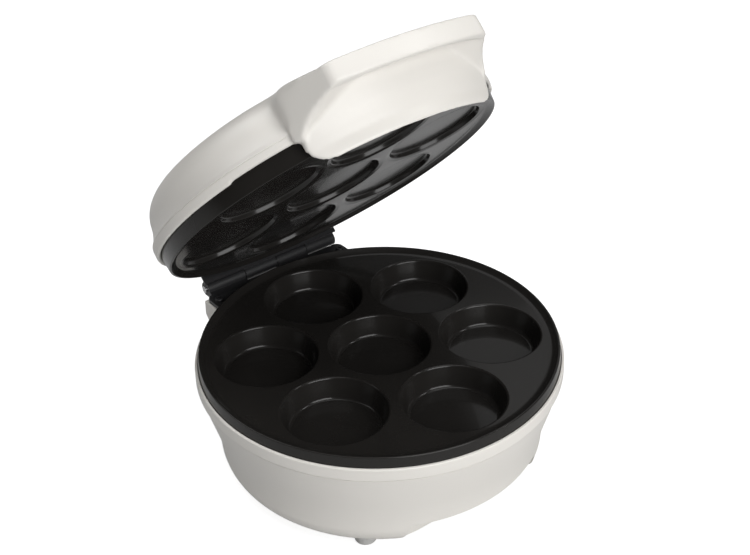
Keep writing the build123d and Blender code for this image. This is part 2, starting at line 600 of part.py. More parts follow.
# Handle: the section turned about the plate's axis, cut to its plan and its front view
with BuildPart() as handle_shape:
    with BuildSketch(Plane.XZ):
        with BuildLine():
            Polyline((HANDLE_TOP_REAR[0] + 4, SKIRT_ROOT_Z), (SKIRT_R, SKIRT_ROOT_Z), (SKIRT_R, -SKIRT_DROP),
                     (SKIRT_R + SKIRT_T, -SKIRT_DROP), HOLLOW_LOW)
            ThreePointArc(HOLLOW_LOW, HOLLOW_MIDDLE, HOLLOW_TOP)
            Polyline(HOLLOW_TOP, (LIP_R + LIP_SPARE, LIP_LOW_Z + 1.0), (LIP_R + LIP_SPARE, LIP_TOP_Z),
                     (LIP_R - 4, LIP_TOP_Z + 0.6), HANDLE_TOP_FRONT)
            ThreePointArc(HANDLE_TOP_FRONT, HANDLE_TOP_MIDDLE, HANDLE_TOP_REAR)
            Polyline(HANDLE_TOP_REAR, (HANDLE_TOP_REAR[0], HANDLE_TOP_REAR[1] - 10),
                     (HANDLE_TOP_REAR[0] + 4, SKIRT_ROOT_Z))
        make_face()
    revolve(axis=Axis.Z)
    with BuildSketch():
        add(handle_plan.sketch)
    extrude(amount=80, both=True, mode=Mode.INTERSECT)
    with BuildSketch(Plane.XZ.offset(RIM_R / 2)) as front:
        with Locations((0, -SKIRT_DROP)):
            Rectangle(2 * SKIRT_HALF_W, 80, align=(Align.CENTER, Align.MIN))
        fillet(front.vertices().group_by(Axis.Y)[0], SKIRT_CORNER_R)
        with Locations((0, UPPER_WALL_H)):
            Rectangle(160, 70, align=(Align.CENTER, Align.MIN))
    extrude(amount=RIM_R, mode=Mode.INTERSECT)

# Hollow of the handle
with BuildPart() as grip_room:
    with BuildSketch(Plane.XZ):
        Polygon((HANDLE_TOP_MIDDLE[0] - 4, LIP_LOW_Z), (SKIRT_R, LIP_LOW_Z - WALL),
                (LIP_R - 9, LIP_LOW_Z + 1.6), (LIP_R - GRIP_WALL, LIP_LOW_Z + WALL),
                (LIP_R - GRIP_WALL, LIP_TOP_Z - 2.2), (HANDLE_TOP_FRONT[0] + 1, HANDLE_TOP_FRONT[1] - 4),
                (HANDLE_TOP_MIDDLE[0] - 4, HANDLE_TOP_MIDDLE[1] - 5), align=None)
    revolve(axis=Axis.Z)
    with BuildSketch():
        add(handle_plan.sketch)
        offset(amount=-GRIP_WALL, kind=Kind.INTERSECTION)
    extrude(amount=80, mode=Mode.INTERSECT)

# Relief in the lower edge of the lid beside the handle
lid_in = LID_RIM_R + RIM_DRAFT + FIT
lid_ledge_z = UPPER_WALL_H + SKIRT_IN_HOUSING + FIT
lid_outside = lid_section(0)
lid_inside = lid_section(WALL)
with BuildPart() as notch:
    with BuildSketch(Plane.XZ):
        with Locations((lid_in - 1, UPPER_WALL_H - 1)):
            Rectangle(6, 1 + NOTCH_H, align=(Align.MIN, Align.MIN))
    revolve(axis=Axis.Z, revolution_arc=NOTCH_ANGLES[1] - NOTCH_ANGLES[0])

# Outer form of the lid: crown, rear deck and handle
with BuildPart() as lid_shape:
    with BuildSketch(Plane.XZ):
        add(lid_outside)
        Polygon((0, UPPER_WALL_H), (BAND_R - BAND_EDGE, UPPER_WALL_H), (BAND_R, UPPER_WALL_H + BAND_EDGE),
                (BAND_R, UPPER_WALL_H + BAND_H - BAND_EDGE), (LID_WALL_LOW[0], UPPER_WALL_H + BAND_H),
                LID_WALL_LOW, (0, LID_WALL_LOW[1]), align=None)
    revolve(axis=Axis.Z)
    with BuildSketch(Plane.YZ):
        Polygon((DECK_FROM_Y, UPPER_WALL_H), (DECK_Y, UPPER_WALL_H), *LID_DECK_TOP, align=None)
    extrude(amount=LEAF_HALF_W, both=True)
    add(handle_shape.part)

# Lid housing with its rooms, posts, ribs and windows
with BuildPart() as lid_housing:
    add(lid_shape.part)
    with BuildSketch(Plane.XZ):
        add(lid_inside)
        with Locations((0, lid_ledge_z)):
            Rectangle(LID_WALL_LOW[0] - WALL, LID_WALL_LOW[1] + WALL - lid_ledge_z, align=RIGHT_AND_UP)
            Rectangle(lid_in, BAND_R, align=RIGHT_AND_DOWN)
    revolve(axis=Axis.Z, mode=Mode.SUBTRACT)
    add(grip_room.part, mode=Mode.SUBTRACT)
    with BuildSketch(Plane.YZ):
        Polygon((DECK_FROM_Y, UPPER_WALL_H), (DECK_Y, UPPER_WALL_H), *LID_DECK_TOP, align=None)
        offset(amount=-WALL, kind=Kind.INTERSECTION)
    extrude(amount=LEAF_HALF_W - WALL, both=True, mode=Mode.SUBTRACT)
    # Relief in the lower edge on both sides of the handle
    for start in (NOTCH_ANGLES[0], -180 - NOTCH_ANGLES[1]):
        with Locations(Location((0, 0, 0), (0, 0, start))):
            add(notch.part, mode=Mode.SUBTRACT)
    # Posts for the hinge screws
    with Locations(*at_height(LEAF_SCREW_POINTS, UPPER_WALL_H)):
        Cylinder(LEAF_POST_R, STRAP_TAB_Z - UPPER_WALL_H, align=UP)
    with Locations(*at_height(LEAF_SCREW_POINTS, UPPER_WALL_H)):
        Cylinder(SCREW_R + FIT, STRAP_TAB_Z - UPPER_WALL_H, align=UP, mode=Mode.SUBTRACT)
    # Two ribs that hold the tongue of the strap
    with Locations((0, -RIB_Y, STRAP_Z - TONGUE_FIT)):
        Box(RIB_W, RIB_T, STRAP_Z - LIP_LOW_Z + WALL, align=DOWN)
    with Locations((0, -RIB_Y, STRAP_Z + STRAP_T + TONGUE_FIT)):
        Box(RIB_W, RIB_T, HANDLE_TOP_FRONT[1] - STRAP_Z - 2 * STRAP_T - TONGUE_FIT, align=UP)
    # Two windows for the indicator lenses
    with Locations((-LENS_X, LENS_Y, CROWN_TOP[1]), (LENS_X, LENS_Y, CROWN_TOP[1])):
        Cylinder(LENS_R + FIT / 2, 5 * WALL, mode=Mode.SUBTRACT)

# Cooking plate of the lid, face down, and what sits above it
with BuildPart() as upper_cooking_plate:
    add(mirror(cooking_plate(LID_RIM_R, UPPER_WALL_H), about=Plane.XY))
with BuildPart() as upper_heating_element:
    add(mirror(heating_element(), about=Plane.XY))
with BuildPart() as upper_heat_reflector:
    add(mirror(heat_reflector(), about=Plane.XY))
with BuildPart() as upper_thermostat:
    add(mirror(thermostat(), about=Plane.XY))
with BuildPart() as upper_thermal_fuse:
    add(mirror(thermal_fuse(), about=Plane.XY))

# Steel strap behind the reflector: two legs at the hinge, a tongue at the handle
strap_front = -RIB_Y - RIB_T
strap_rear = LEAF_SCREW_Y + SMALL_HEAD_R + FIT
with BuildPart() as upper_mounting_strap:
    with BuildSketch(Plane.YZ):
        Polygon((strap_front, STRAP_Z), (LEAF_SCREW_Y - 13.5, STRAP_Z), (LEAF_SCREW_Y - 6.5, STRAP_TAB_Z),
                (strap_rear, STRAP_TAB_Z), (strap_rear, STRAP_TAB_Z + STRAP_T),
                (LEAF_SCREW_Y - 5.7, STRAP_TAB_Z + STRAP_T), (LEAF_SCREW_Y - 12.7, STRAP_Z + STRAP_T),
                (strap_front, STRAP_Z + STRAP_T), align=None)
    extrude(amount=LEAF_HALF_W, both=True)
    with BuildSketch():
        Circle(STRAP_RING_R)
        with Locations((-LEAF_SCREW_X + 1.5, 0), (LEAF_SCREW_X - 1.5, 0)):
            Rectangle(STRAP_LEG_W, 2 * RIM_R, align=(Align.CENTER, Align.MIN))
        Rectangle(TONGUE_W, 2 * RIM_R, align=(Align.CENTER, Align.MAX))
        Circle(STRAP_RING_HOLE_R, mode=Mode.SUBTRACT)
        with Locations(*BOSS_POINTS):
            Circle(SCREW_R + FIT, mode=Mode.SUBTRACT)
        with Locations(*LEAF_SCREW_POINTS):
            Circle(SCREW_R + RUN_CLEAR, mode=Mode.SUBTRACT)
        with Locations(*LEG_POINTS):
            Circle(LEG_R + 6 * FIT, mode=Mode.SUBTRACT)
    extrude(amount=STRAP_Z + 2 * STRAP_T, mode=Mode.INTERSECT)

with BuildPart() as upper_plate_screws:
    for x, y in BOSS_POINTS:
        with Locations(Location((x, y, STRAP_Z + STRAP_T), (180, 0, 0))):
            add(screw(STRAP_T + SHEET_T + PLATE_SCREW_GRIP, HEAD_R, HEAD_H))

# Two indicator lenses in the crown with a neon lamp under each
lens_top = CROWN_TOP[1] + LENS_RISE
with BuildPart() as power_lens:
    with Locations((-LENS_X, LENS_Y, lens_top)):
        Cylinder(LENS_R, LENS_H, align=DOWN)
    chamfer(power_lens.edges().sort_by(Axis.Z)[-1], 0.8)
with BuildPart() as ready_lens:
    with Locations((LENS_X, LENS_Y, lens_top)):
        Cylinder(LENS_R, LENS_H, align=DOWN)
    chamfer(ready_lens.edges().sort_by(Axis.Z)[-1], 0.8)
with BuildPart() as indicator_lamps:
    with Locations((-LENS_X, LENS_Y, lens_top - LENS_H - FIT), (LENS_X, LENS_Y, lens_top - LENS_H - FIT)):
        Cylinder(LAMP_R, LAMP_H, align=DOWN)

with BuildPart() as hinge_lid_leaf:
    add(hinge_leaf(LID_RIM_R + RIM_DRAFT, False))
with BuildPart() as hinge_lid_screws:
    with Locations(*at_height(LEAF_SCREW_POINTS, MATE_Z + SHUT_GAP + UPPER_WALL_H - LEAF_T)):
        add(screw(LEAF_T + STRAP_TAB_Z - UPPER_WALL_H + STRAP_T + 1, SMALL_HEAD_R, SMALL_HEAD_H))

# Names of the pieces
fixed = {
    "base_housing": base_housing,
    "base_plate_screws": base_plate_screws,
    "cord_bushing": cord_bushing,
    "feet": feet,
    "foot_screws": foot_screws,
    "hinge_base_bracket": hinge_base_bracket,
    "hinge_base_screws": hinge_base_screws,
    "hinge_pin": hinge_pin,
    "lower_cooking_plate": lower_cooking_plate,
    "lower_heat_reflector": lower_heat_reflector,
    "lower_heating_element": lower_heating_element,
    "lower_thermal_fuse": lower_thermal_fuse,
    "lower_thermostat": lower_thermostat,
    "terminal_block": terminal_block,
}
raised = {
    "indicator_lamps": indicator_lamps,
    "lid_housing": lid_housing,
    "power_lens": power_lens,
    "ready_lens": ready_lens,
    "upper_cooking_plate": upper_cooking_plate,
    "upper_heat_reflector": upper_heat_reflector,
    "upper_heating_element": upper_heating_element,
    "upper_mounting_strap": upper_mounting_strap,
    "upper_plate_screws": upper_plate_screws,
    "upper_thermal_fuse": upper_thermal_fuse,
    "upper_thermostat": upper_thermostat,
}
at_hinge = {
    "hinge_lid_leaf": hinge_lid_leaf,
    "hinge_lid_screws": hinge_lid_screws,
}

# The lid's pieces are turned about the hinge to the angle of the photograph
hinge_axis = Axis((0, HINGE_Y, HINGE_Z), (1, 0, 0))
for name in raised:
    raised[name].part = raised[name].part.translate((0, 0, MATE_Z + SHUT_GAP)).rotate(hinge_axis, -OPEN_ANGLE)
for name in at_hinge:
    at_hinge[name].part = at_hinge[name].part.rotate(hinge_axis, -OPEN_ANGLE)

os.makedirs("parts", exist_ok=True)
for group in (fixed, raised, at_hinge):
    for name in group:
        group[name].part.label = name
        export_step(group[name].part, "parts/" + name + ".step")
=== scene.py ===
import bpy
import json
import math
from mathutils import Matrix, Vector


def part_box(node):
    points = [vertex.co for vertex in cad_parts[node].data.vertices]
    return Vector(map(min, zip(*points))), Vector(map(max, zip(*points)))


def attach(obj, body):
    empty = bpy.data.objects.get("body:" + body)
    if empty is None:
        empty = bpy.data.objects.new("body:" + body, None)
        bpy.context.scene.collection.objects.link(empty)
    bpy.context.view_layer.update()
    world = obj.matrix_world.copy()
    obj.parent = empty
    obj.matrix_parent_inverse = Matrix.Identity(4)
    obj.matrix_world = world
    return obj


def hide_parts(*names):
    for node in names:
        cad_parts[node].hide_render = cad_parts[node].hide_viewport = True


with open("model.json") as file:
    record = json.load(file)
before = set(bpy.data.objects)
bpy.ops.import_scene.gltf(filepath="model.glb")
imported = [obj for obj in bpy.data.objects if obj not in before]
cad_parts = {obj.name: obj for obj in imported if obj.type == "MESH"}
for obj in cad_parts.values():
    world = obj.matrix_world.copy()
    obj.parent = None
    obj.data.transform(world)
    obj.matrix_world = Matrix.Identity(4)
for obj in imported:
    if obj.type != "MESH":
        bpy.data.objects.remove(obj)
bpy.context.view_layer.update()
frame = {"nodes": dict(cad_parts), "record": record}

# Studio table: a pale sheet of paper under five soft lights, in front of it, above it and behind it.
# The camera stands where the photograph was taken from; its lens was found from the plates' circles.
CAMERA_PLACE = Vector((-0.4529, -0.5911, 0.6130))
CAMERA_TURN = math.radians(-39.345)
CAMERA_TILT = math.radians(28.087)
CAMERA_ROLL = math.radians(-0.342)
SENSOR_WIDTH = 36
FOCAL_PIXELS = 1415.3
PHOTO_WIDTH = 750
PHOTO_SHIFT = (-42.1 / PHOTO_WIDTH, -113.9 / PHOTO_WIDTH)

back = Vector((math.sin(CAMERA_TURN) * math.cos(CAMERA_TILT), -math.cos(CAMERA_TURN) * math.cos(CAMERA_TILT),
               math.sin(CAMERA_TILT)))
level = Vector((0, 0, 1)).cross(back).normalized()
upright = back.cross(level)
across = level * math.cos(CAMERA_ROLL) + upright * math.sin(CAMERA_ROLL)
above = upright * math.cos(CAMERA_ROLL) - level * math.sin(CAMERA_ROLL)
bpy.ops.object.camera_add()
camera = bpy.context.object
camera.matrix_world = Matrix((
    (across.x, above.x, back.x, CAMERA_PLACE.x),
    (across.y, above.y, back.y, CAMERA_PLACE.y),
    (across.z, above.z, back.z, CAMERA_PLACE.z),
    (0, 0, 0, 1)))
camera.data.sensor_width = SENSOR_WIDTH
camera.data.lens = SENSOR_WIDTH * FOCAL_PIXELS / PHOTO_WIDTH
camera.data.shift_x, camera.data.shift_y = PHOTO_SHIFT
bpy.context.scene.camera = camera
bpy.context.scene.view_settings.view_transform = "Standard"


def softbox(name, place, aim, side, watts):
    """A square lamp that faces a point."""
    bpy.ops.object.light_add(type="AREA", location=place)
    lamp = bpy.context.object
    lamp.name = name
    lamp.data.shape = "SQUARE"
    lamp.data.size = side
    lamp.data.energy = watts
    lamp.rotation_euler = (Vector(place) - Vector(aim)).to_track_quat("Z", "Y").to_euler()


MIDDLE = (0, 0, 0.12)
HANDLE = (0, -0.03, 0.25)
softbox("key_light", (1.00, -0.68, 1.53), HANDLE, 0.3, 2.5)
softbox("front_light", (-0.19, -1.71, 0.92), MIDDLE, 1.4, 29)
softbox("top_light", (0, 0, 1.92), MIDDLE, 1.6, 12.5)
softbox("rear_right_light", (0.76, 0.95, 1.58), MIDDLE, 1.2, 2.5)
softbox("rear_left_light", (-0.77, 1.06, 1.52), MIDDLE, 1.2, 9)


class Shade:
    """One socket of a shader's nodes; arithmetic on it adds Math nodes."""

    def __init__(self, tree, socket=None):
        self.tree = tree
        self.socket = socket

    def node(self, kind, settings, sockets, output=0):
        """Any other node: its settings first, then the values or links of its sockets."""
        new = self.tree.nodes.new("ShaderNode" + kind)
        for name, value in settings.items():
            setattr(new, name, value)
        for name, value in sockets.items():
            if isinstance(value, Shade):
                self.tree.links.new(value.socket, new.inputs[name])
            else:
                new.inputs[name].default_value = value
        return Shade(self.tree, new.outputs[output])

    def __add__(self, other):
        return self.node("Math", {"operation": "ADD"}, {0: self, 1: other})

    def __sub__(self, other):
        return self.node("Math", {"operation": "SUBTRACT"}, {0: self, 1: other})

    def __rsub__(self, other):
        return self.node("Math", {"operation": "SUBTRACT"}, {0: other, 1: self})

    def __mul__(self, other):
        return self.node("Math", {"operation": "MULTIPLY"}, {0: self, 1: other})

    __radd__ = __add__
    __rmul__ = __mul__


# The world lights faintly, and the camera alone sees it as white as the paper
WHITE = (1, 1, 1, 1)
FAINT = 0.02
PAPER_LIKE = 0.95
world = bpy.data.worlds.new("studio")
bpy.context.scene.world = world
world.use_nodes = True
sky = world.node_tree.nodes["Background"]
sky.inputs["Color"].default_value = WHITE
sky.inputs["Strength"].default_value = FAINT
air = Shade(world.node_tree, sky.outputs["Background"])
pale = air.node("Background", {}, {"Color": WHITE, "Strength": PAPER_LIKE})
camera_ray = air.node("LightPath", {}, {}, "Is Camera Ray")
either = air.node("MixShader", {}, {0: camera_ray, 1: air, 2: pale})
world.node_tree.links.new(either.socket, world.node_tree.nodes["World Output"].inputs["Surface"])


def socket_name(name):
    """The name of a shader's socket as Blender writes it."""
    return name.replace("_", " ").title().replace("Ior", "IOR")


def new_finish(name, **constants):
    """A material with the constants of its shader; returns it with its shader and a Shade to build on."""
    material = bpy.data.materials.new(name)
    material.use_nodes = True
    shader = material.node_tree.nodes["Principled BSDF"]
    for socket, value in constants.items():
        shader.inputs[socket_name(socket)].default_value = value
    return material, shader, Shade(material.node_tree)


def vary(shader, **sockets):
    """Links varying values to the sockets of a shader."""
    for name, value in sockets.items():
        value.tree.links.new(value.socket, shader.inputs[socket_name(name)])


SHEET_SIDE = 8
UNDER_FEET = 0.0002
paper, sheet, ink = new_finish("backdrop_paper", base_color=(0.55, 0.55, 0.55, 1), roughness=0.9,
                               emission_strength=1.0)
seen = ink.node("LightPath", {}, {}, "Is Camera Ray")
mirrored = ink.node("LightPath", {}, {}, "Is Glossy Ray")
vary(sheet, emission_color=seen * 0.8 + mirrored * 0.1)
bpy.ops.mesh.primitive_plane_add(size=SHEET_SIDE, location=(0, 0, -UNDER_FEET))
floor = bpy.context.object
floor.name = "paper_floor"
floor.data.materials.append(paper)

# Base housing: an injection-moulded bowl of glossy warm white plastic, open at the top for the cooking plate.
# A bead at its rim meets the plate's skirt, the rear carries a deck for the hinge, and vents open below.
# The plate's screws go up through three deep recesses, the cord leaves through a hole in the rear wall.
MATE = 0.0880  # the height at which the two halves meet
BAND_R = 0.1177  # the radius of their white bands there
base_low, base_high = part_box("base_housing")
FLOOR = base_low.z
RIM_TOP = base_high.z
WALL = 0.0025
CUT_SPARE = 0.001


def bent(start, middle, end, steps):
    """Points of a shallow curve through three points, without the first."""
    handle = 2 * Vector(middle) - (Vector(start) + Vector(end)) / 2
    return [tuple(Vector(start) * (1 - t) ** 2 + handle * (2 * t * (1 - t)) + Vector(end) * t ** 2)
            for t in [(k + 1) / steps for k in range(steps)]]


def rounded(centre, radius, from_degrees, to_degrees, steps):
    """Points on a circular arc, ends included."""
    turns = [math.radians(from_degrees + (to_degrees - from_degrees) * k / steps) for k in range(steps + 1)]
    return [(centre[0] + radius * math.cos(a), centre[1] + radius * math.sin(a)) for a in turns]


def turned(name, profile, segments=160):
    """A ring pulled step by step along a profile of (radius, height) points, then closed at both ends."""
    bpy.ops.object.select_all(action="DESELECT")
    bpy.ops.mesh.primitive_circle_add(vertices=segments, radius=profile[0][0], location=(0, 0, profile[0][1]))
    piece = bpy.context.object
    piece.name = name
    bpy.ops.object.transform_apply(location=True, rotation=True, scale=True)
    bpy.ops.object.mode_set(mode="EDIT")
    bpy.ops.mesh.select_all(action="SELECT")
    for (radius, height), (next_radius, next_height) in zip(profile, profile[1:]):
        bpy.ops.mesh.extrude_region_move(TRANSFORM_OT_translate={"value": (0, 0, next_height - height)})
        growth = next_radius / radius
        bpy.ops.transform.resize(value=(growth, growth, 1), center_override=(0, 0, next_height))
    bpy.ops.mesh.select_all(action="SELECT")
    bpy.ops.mesh.remove_doubles(threshold=1e-6)
    bpy.ops.mesh.select_all(action="DESELECT")
    bpy.ops.mesh.select_non_manifold()
    bpy.ops.mesh.fill_holes(sides=0)
    bpy.ops.mesh.select_all(action="SELECT")
    bpy.ops.mesh.normals_make_consistent(inside=False)
    bpy.ops.object.mode_set(mode="OBJECT")
    return piece


CAP_R = 0.02
BEAD_ROUND = 0.0009
BEAD_LOW = 0.0075
LEDGE_DROP = 0.0048
BAND_INNER_R = 0.1161
FLOOR_ROUND = 0.018
bead_r = BAND_R - BEAD_ROUND
wall_top = (BAND_R - 0.0011, MATE - 0.016)
wall_waist = (BAND_R - 0.0094, MATE - 0.044)
wall_belly = (BAND_R - 0.0115, MATE - 0.053)
wall_low = (BAND_R - 0.0127, MATE - 0.062)
round_centre = (wall_low[0] - FLOOR_ROUND, FLOOR + FLOOR_ROUND)
bowl = [(CAP_R, RIM_TOP), (bead_r, RIM_TOP)]
bowl += rounded((bead_r, RIM_TOP - BEAD_ROUND), BEAD_ROUND, 90, 0, 4)[1:]
bowl += rounded((bead_r, RIM_TOP - BEAD_LOW), BEAD_ROUND, 0, -90, 4)
bowl += [(BAND_R - 0.0017, RIM_TOP - 0.0085), (BAND_R - 0.0018, RIM_TOP - 0.0089), wall_top]
bowl += bent(wall_top, tuple((Vector(wall_top) + Vector(wall_waist)) / 2), wall_waist, 5)
bowl += bent(wall_waist, wall_belly, wall_low, 8)
bowl += rounded(round_centre, FLOOR_ROUND, 0, -90, 16)[1:]
bowl += [(CAP_R, FLOOR)]
base = turned("base_shell", bowl)

ledge = RIM_TOP - LEDGE_DROP
over_rim = RIM_TOP + 0.01
room = [(CAP_R, FLOOR + WALL)]
room += rounded(round_centre, FLOOR_ROUND - WALL, -90, 0, 12)
room += bent((wall_low[0] - WALL, wall_low[1]), (wall_belly[0] - WALL, wall_belly[1]),
             (wall_waist[0] - WALL, wall_waist[1]), 6)
room += [(wall_top[0] - WALL, wall_top[1]), (wall_top[0] - WALL, ledge), (BAND_INNER_R, ledge),
         (BAND_INNER_R, over_rim), (CAP_R, over_rim)]
room = turned("room_inside", room)


def alone(piece):
    """Selects one piece and nothing else."""
    bpy.ops.object.select_all(action="DESELECT")
    piece.select_set(True)
    bpy.context.view_layer.objects.active = piece


def combine(piece, tool, operation):
    """Cuts the tool out of the piece, or joins it to the piece, and removes the tool."""
    alone(piece)
    bpy.ops.object.modifier_add(type="BOOLEAN")
    step = piece.modifiers[-1]
    step.object = tool
    step.operation = operation
    step.solver = "MANIFOLD"
    bpy.ops.object.modifier_apply(modifier=step.name)
    bpy.data.objects.remove(tool, do_unlink=True)


def box_between(low, high):
    """A plain block between two corners, used to cut or to join."""
    bpy.ops.object.select_all(action="DESELECT")
    middle = (Vector(low) + Vector(high)) / 2
    bpy.ops.mesh.primitive_cube_add(size=1, location=middle, scale=Vector(high) - Vector(low))
    block = bpy.context.object
    bpy.ops.object.transform_apply(location=True, rotation=True, scale=True)
    return block


def sliced(block, point, outward):
    """Cuts off what lies beyond a plane and closes the cut."""
    alone(block)
    bpy.ops.object.mode_set(mode="EDIT")
    bpy.ops.mesh.select_all(action="SELECT")
    bpy.ops.mesh.bisect(plane_co=point, plane_no=Vector(outward).normalized(), use_fill=True,
                        clear_outer=True)
    bpy.ops.object.mode_set(mode="OBJECT")


# The deck under the hinge, with its sloped rear, and the trapezoid relief under the front
DECK_HALF = 0.0565
DECK_FRONT = 0.098
DECK_REAR = 0.1196
DECK_DEPTH = 0.052
SLOPE_DROP = 0.017
deck = box_between((-DECK_HALF, DECK_FRONT, MATE - DECK_DEPTH), (DECK_HALF, DECK_REAR, RIM_TOP))
sliced(deck, (0, DECK_REAR, MATE - SLOPE_DROP), (0, 0.0350, -0.0316))
combine(base, deck, "UNION")

RELIEF_FRONT = -0.13
RELIEF_REAR = -0.082
RELIEF_HIGH = 0.0187
RELIEF_HALF = 0.0535
RELIEF_TOP_HALF = 0.050


def relief_block(spare):
    """The space of the front relief, grown by the thickness of the wall around it."""
    block = box_between((-RELIEF_HALF - spare, RELIEF_FRONT, FLOOR - CUT_SPARE),
                        (RELIEF_HALF + spare, RELIEF_REAR + spare, FLOOR + RELIEF_HIGH + spare))
    bpy.ops.object.mode_set(mode="EDIT")
    bpy.ops.mesh.select_all(action="SELECT")
    bpy.ops.mesh.bisect(plane_co=(0, 0, FLOOR + RELIEF_HIGH), plane_no=(0, 0, 1), use_fill=False)
    bpy.ops.object.mode_set(mode="OBJECT")
    for corner in block.data.vertices:
        corner.select = corner.co.z > FLOOR + RELIEF_HIGH - 0.0001
    bpy.ops.object.mode_set(mode="EDIT")
    narrow = (RELIEF_TOP_HALF + spare) / (RELIEF_HALF + spare)
    bpy.ops.transform.resize(value=(narrow, 1, 1), center_override=(0, 0, 0))
    bpy.ops.object.mode_set(mode="OBJECT")
    return block


combine(room, relief_block(WALL), "DIFFERENCE")
combine(base, relief_block(0), "DIFFERENCE")
combine(base, room, "DIFFERENCE")


def peg(radius, low, high, segments=48):
    """A plain round bar at the origin from one height to another, used to cut or to join."""
    bpy.ops.object.select_all(action="DESELECT")
    bpy.ops.mesh.primitive_cylinder_add(vertices=segments, radius=radius, depth=high - low,
                                        location=(0, 0, (low + high) / 2))
    bar = bpy.context.object
    bpy.ops.object.transform_apply(location=True, rotation=True, scale=True)
    return bar


def set_at(piece, places):
    """Copies a piece with its own mesh to each place, joined into one object."""
    copies = []
    for place in places:
        copy = piece.copy()
        copy.data = piece.data.copy()
        bpy.context.collection.objects.link(copy)
        copy.matrix_world = Matrix.Translation(Vector(place)) @ piece.matrix_world
        copies.append(copy)
    bpy.data.objects.remove(piece, do_unlink=True)
    bpy.ops.object.select_all(action="DESELECT")
    for copy in copies:
        copy.select_set(True)
    bpy.context.view_layer.objects.active = copies[0]
    bpy.ops.object.join()
    bpy.ops.object.transform_apply(location=True, rotation=True, scale=True)
    return bpy.context.object


def moved(piece, turn):
    """Moves a piece and keeps its object at the origin."""
    alone(piece)
    piece.matrix_world = turn @ piece.matrix_world
    bpy.ops.object.transform_apply(location=True, rotation=True, scale=True)
    return piece


# Foot pads and screw posts join the bowl, with the recesses and bores of their screws
FOOT_RING = 0.0849
PAD_R = 0.009
PAD_HIGH = 0.009
feet_at = [(sx * FOOT_RING * math.sqrt(0.5), sy * FOOT_RING * math.sqrt(0.5), 0)
           for sx, sy in ((1, 1), (-1, 1), (-1, -1), (1, -1))]
combine(base, set_at(peg(PAD_R, FLOOR, FLOOR + PAD_HIGH), feet_at), "UNION")

POST_RING = 0.04174
POST_R = 0.006
POST_TOP = 0.0570
RECESS_R = 0.0039
RECESS_DEPTH = 0.024
BORE_R = 0.0023
posts_at = [(POST_RING * math.cos(math.radians(a)), POST_RING * math.sin(math.radians(a)), 0)
            for a in (60, 180, 300)]
combine(base, set_at(peg(POST_R, FLOOR + 0.0005, POST_TOP), posts_at), "UNION")
combine(base, set_at(peg(RECESS_R, FLOOR - CUT_SPARE, FLOOR + RECESS_DEPTH), posts_at), "DIFFERENCE")
combine(base, set_at(peg(BORE_R, FLOOR, POST_TOP + 0.003), posts_at), "DIFFERENCE")

# Ten vent slots and the hole for the cord bushing
VENT_HALF = (0.0015, 0.012)
VENT_PITCH = 0.011
VENT_ROW = 0.017
CORD_HOLE_R = 0.007
CORD_HEIGHT = 0.030
REAR_WALL = (0.06, 0.14)
vent = box_between((-VENT_HALF[0], -VENT_HALF[1], FLOOR - CUT_SPARE),
                   (VENT_HALF[0], VENT_HALF[1], FLOOR + WALL + CUT_SPARE))
vents_at = [(x * VENT_PITCH, y, 0) for x in (-2, -1, 0, 1, 2) for y in (-VENT_ROW, VENT_ROW)]
combine(base, set_at(vent, vents_at), "DIFFERENCE")
rearward = Matrix.Translation((0, 0, CORD_HEIGHT)) @ Matrix.Rotation(math.radians(-90), 4, "X")
combine(base, moved(peg(CORD_HOLE_R, *REAR_WALL), rearward), "DIFFERENCE")


def smoothed(piece, edge=0.0, angle=35, segments=3):
    """Rounds the sharp edges a little and shades the rest smooth, with flat faces kept flat."""
    alone(piece)
    if edge:
        bpy.ops.object.modifier_add(type="BEVEL")
        bevel = piece.modifiers[-1]
        bevel.width = edge
        bevel.segments = segments
        bevel.limit_method = "ANGLE"
        bevel.angle_limit = math.radians(angle)
        bevel.use_clamp_overlap = True
        bpy.ops.object.modifier_apply(modifier=bevel.name)
    bpy.ops.object.shade_smooth_by_angle(angle=math.radians(angle))
    bpy.ops.object.modifier_add(type="WEIGHTED_NORMAL")
    weigh = piece.modifiers[-1]
    weigh.keep_sharp = True
    bpy.ops.object.modifier_apply(modifier=weigh.name)
    return piece


def blend(factor, low, high):
    """A colour between two, by a varying factor."""
    return factor.node("Mix", {"data_type": "RGBA"}, {0: factor, 6: (*low, 1), 7: (*high, 1)}, 2)


def object_place(nodes):
    """Object coordinates."""
    return nodes.node("TexCoord", {}, {}, "Object")


def noise(place, scale, detail):
    """Soft random mottling at a place."""
    return place.node("TexNoise", {}, {"Vector": place, "Scale": scale, "Detail": detail})


def bumps(height, strength, distance):
    """Small unevenness of a surface, from a varying height."""
    return height.node("Bump", {}, {"Strength": strength, "Distance": distance, "Height": height})


def finished(piece, material):
    """Gives a piece its finish in one slot."""
    piece.data.materials.clear()
    piece.data.materials.append(material)


white, shader, nodes = new_finish("warm_white_plastic", ior=1.5)
place = object_place(nodes)
cloud = noise(place, 14.0, 2.0)
pebble = noise(place, 420.0, 2.0)
vary(shader, base_color=blend(cloud, (0.822, 0.796, 0.750), (0.830, 0.804, 0.758)),
     roughness=0.32 + cloud * 0.04, normal=bumps(pebble, 0.06, 0.0002))
smoothed(base, edge=0.0004, angle=40)
finished(base, white)
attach(base, "base")
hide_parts("base_housing")

